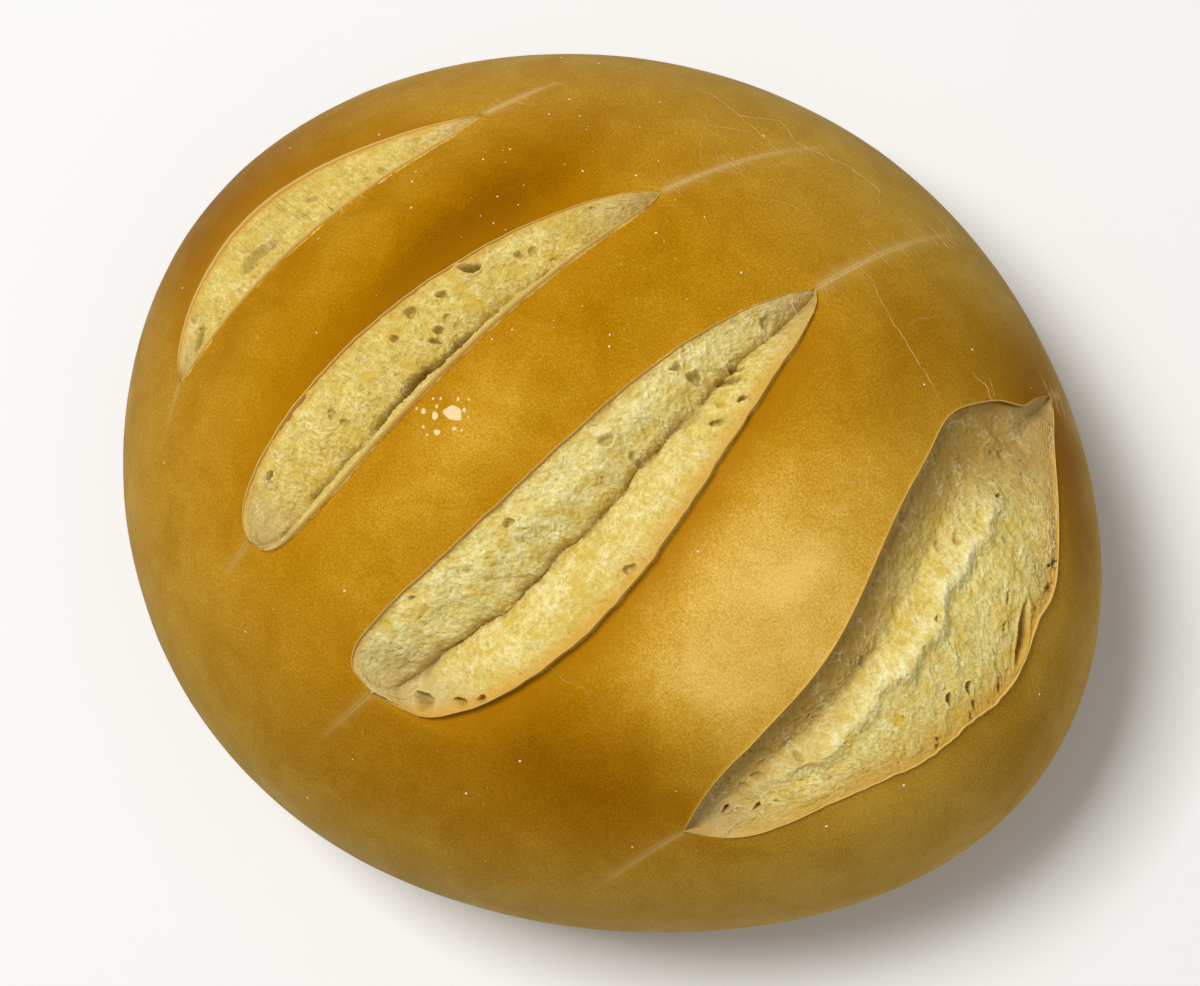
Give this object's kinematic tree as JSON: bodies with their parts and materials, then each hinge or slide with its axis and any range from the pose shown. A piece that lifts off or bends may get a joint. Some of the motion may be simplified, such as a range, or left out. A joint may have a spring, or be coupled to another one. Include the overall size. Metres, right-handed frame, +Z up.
{
  "type": "sourdough loaf",
  "caption": "Low oval hearth loaf with a flat base, a smooth golden-brown crust and open lengthwise slashes that show pale crumb.",
  "frame": {"origin": "middle of the loaf's box, on the floor that its flat base rests on", "axes": "+Z up out of the top crust, +X along the loaf's long side, across the slashes, towards the slash with the raised ear"},
  "size_m": [0.2414, 0.2022, 0.105],
  "materials": {
    "crust": "baked crust, golden brown and satin smooth with a fine speckle",
    "crumb": "pale open crumb in the slashes, matte, torn along its pores, toasted at the rims"
  },
  "bodies": {
    "root": {"loaf": "crust"}
  },
  "joints": []
}
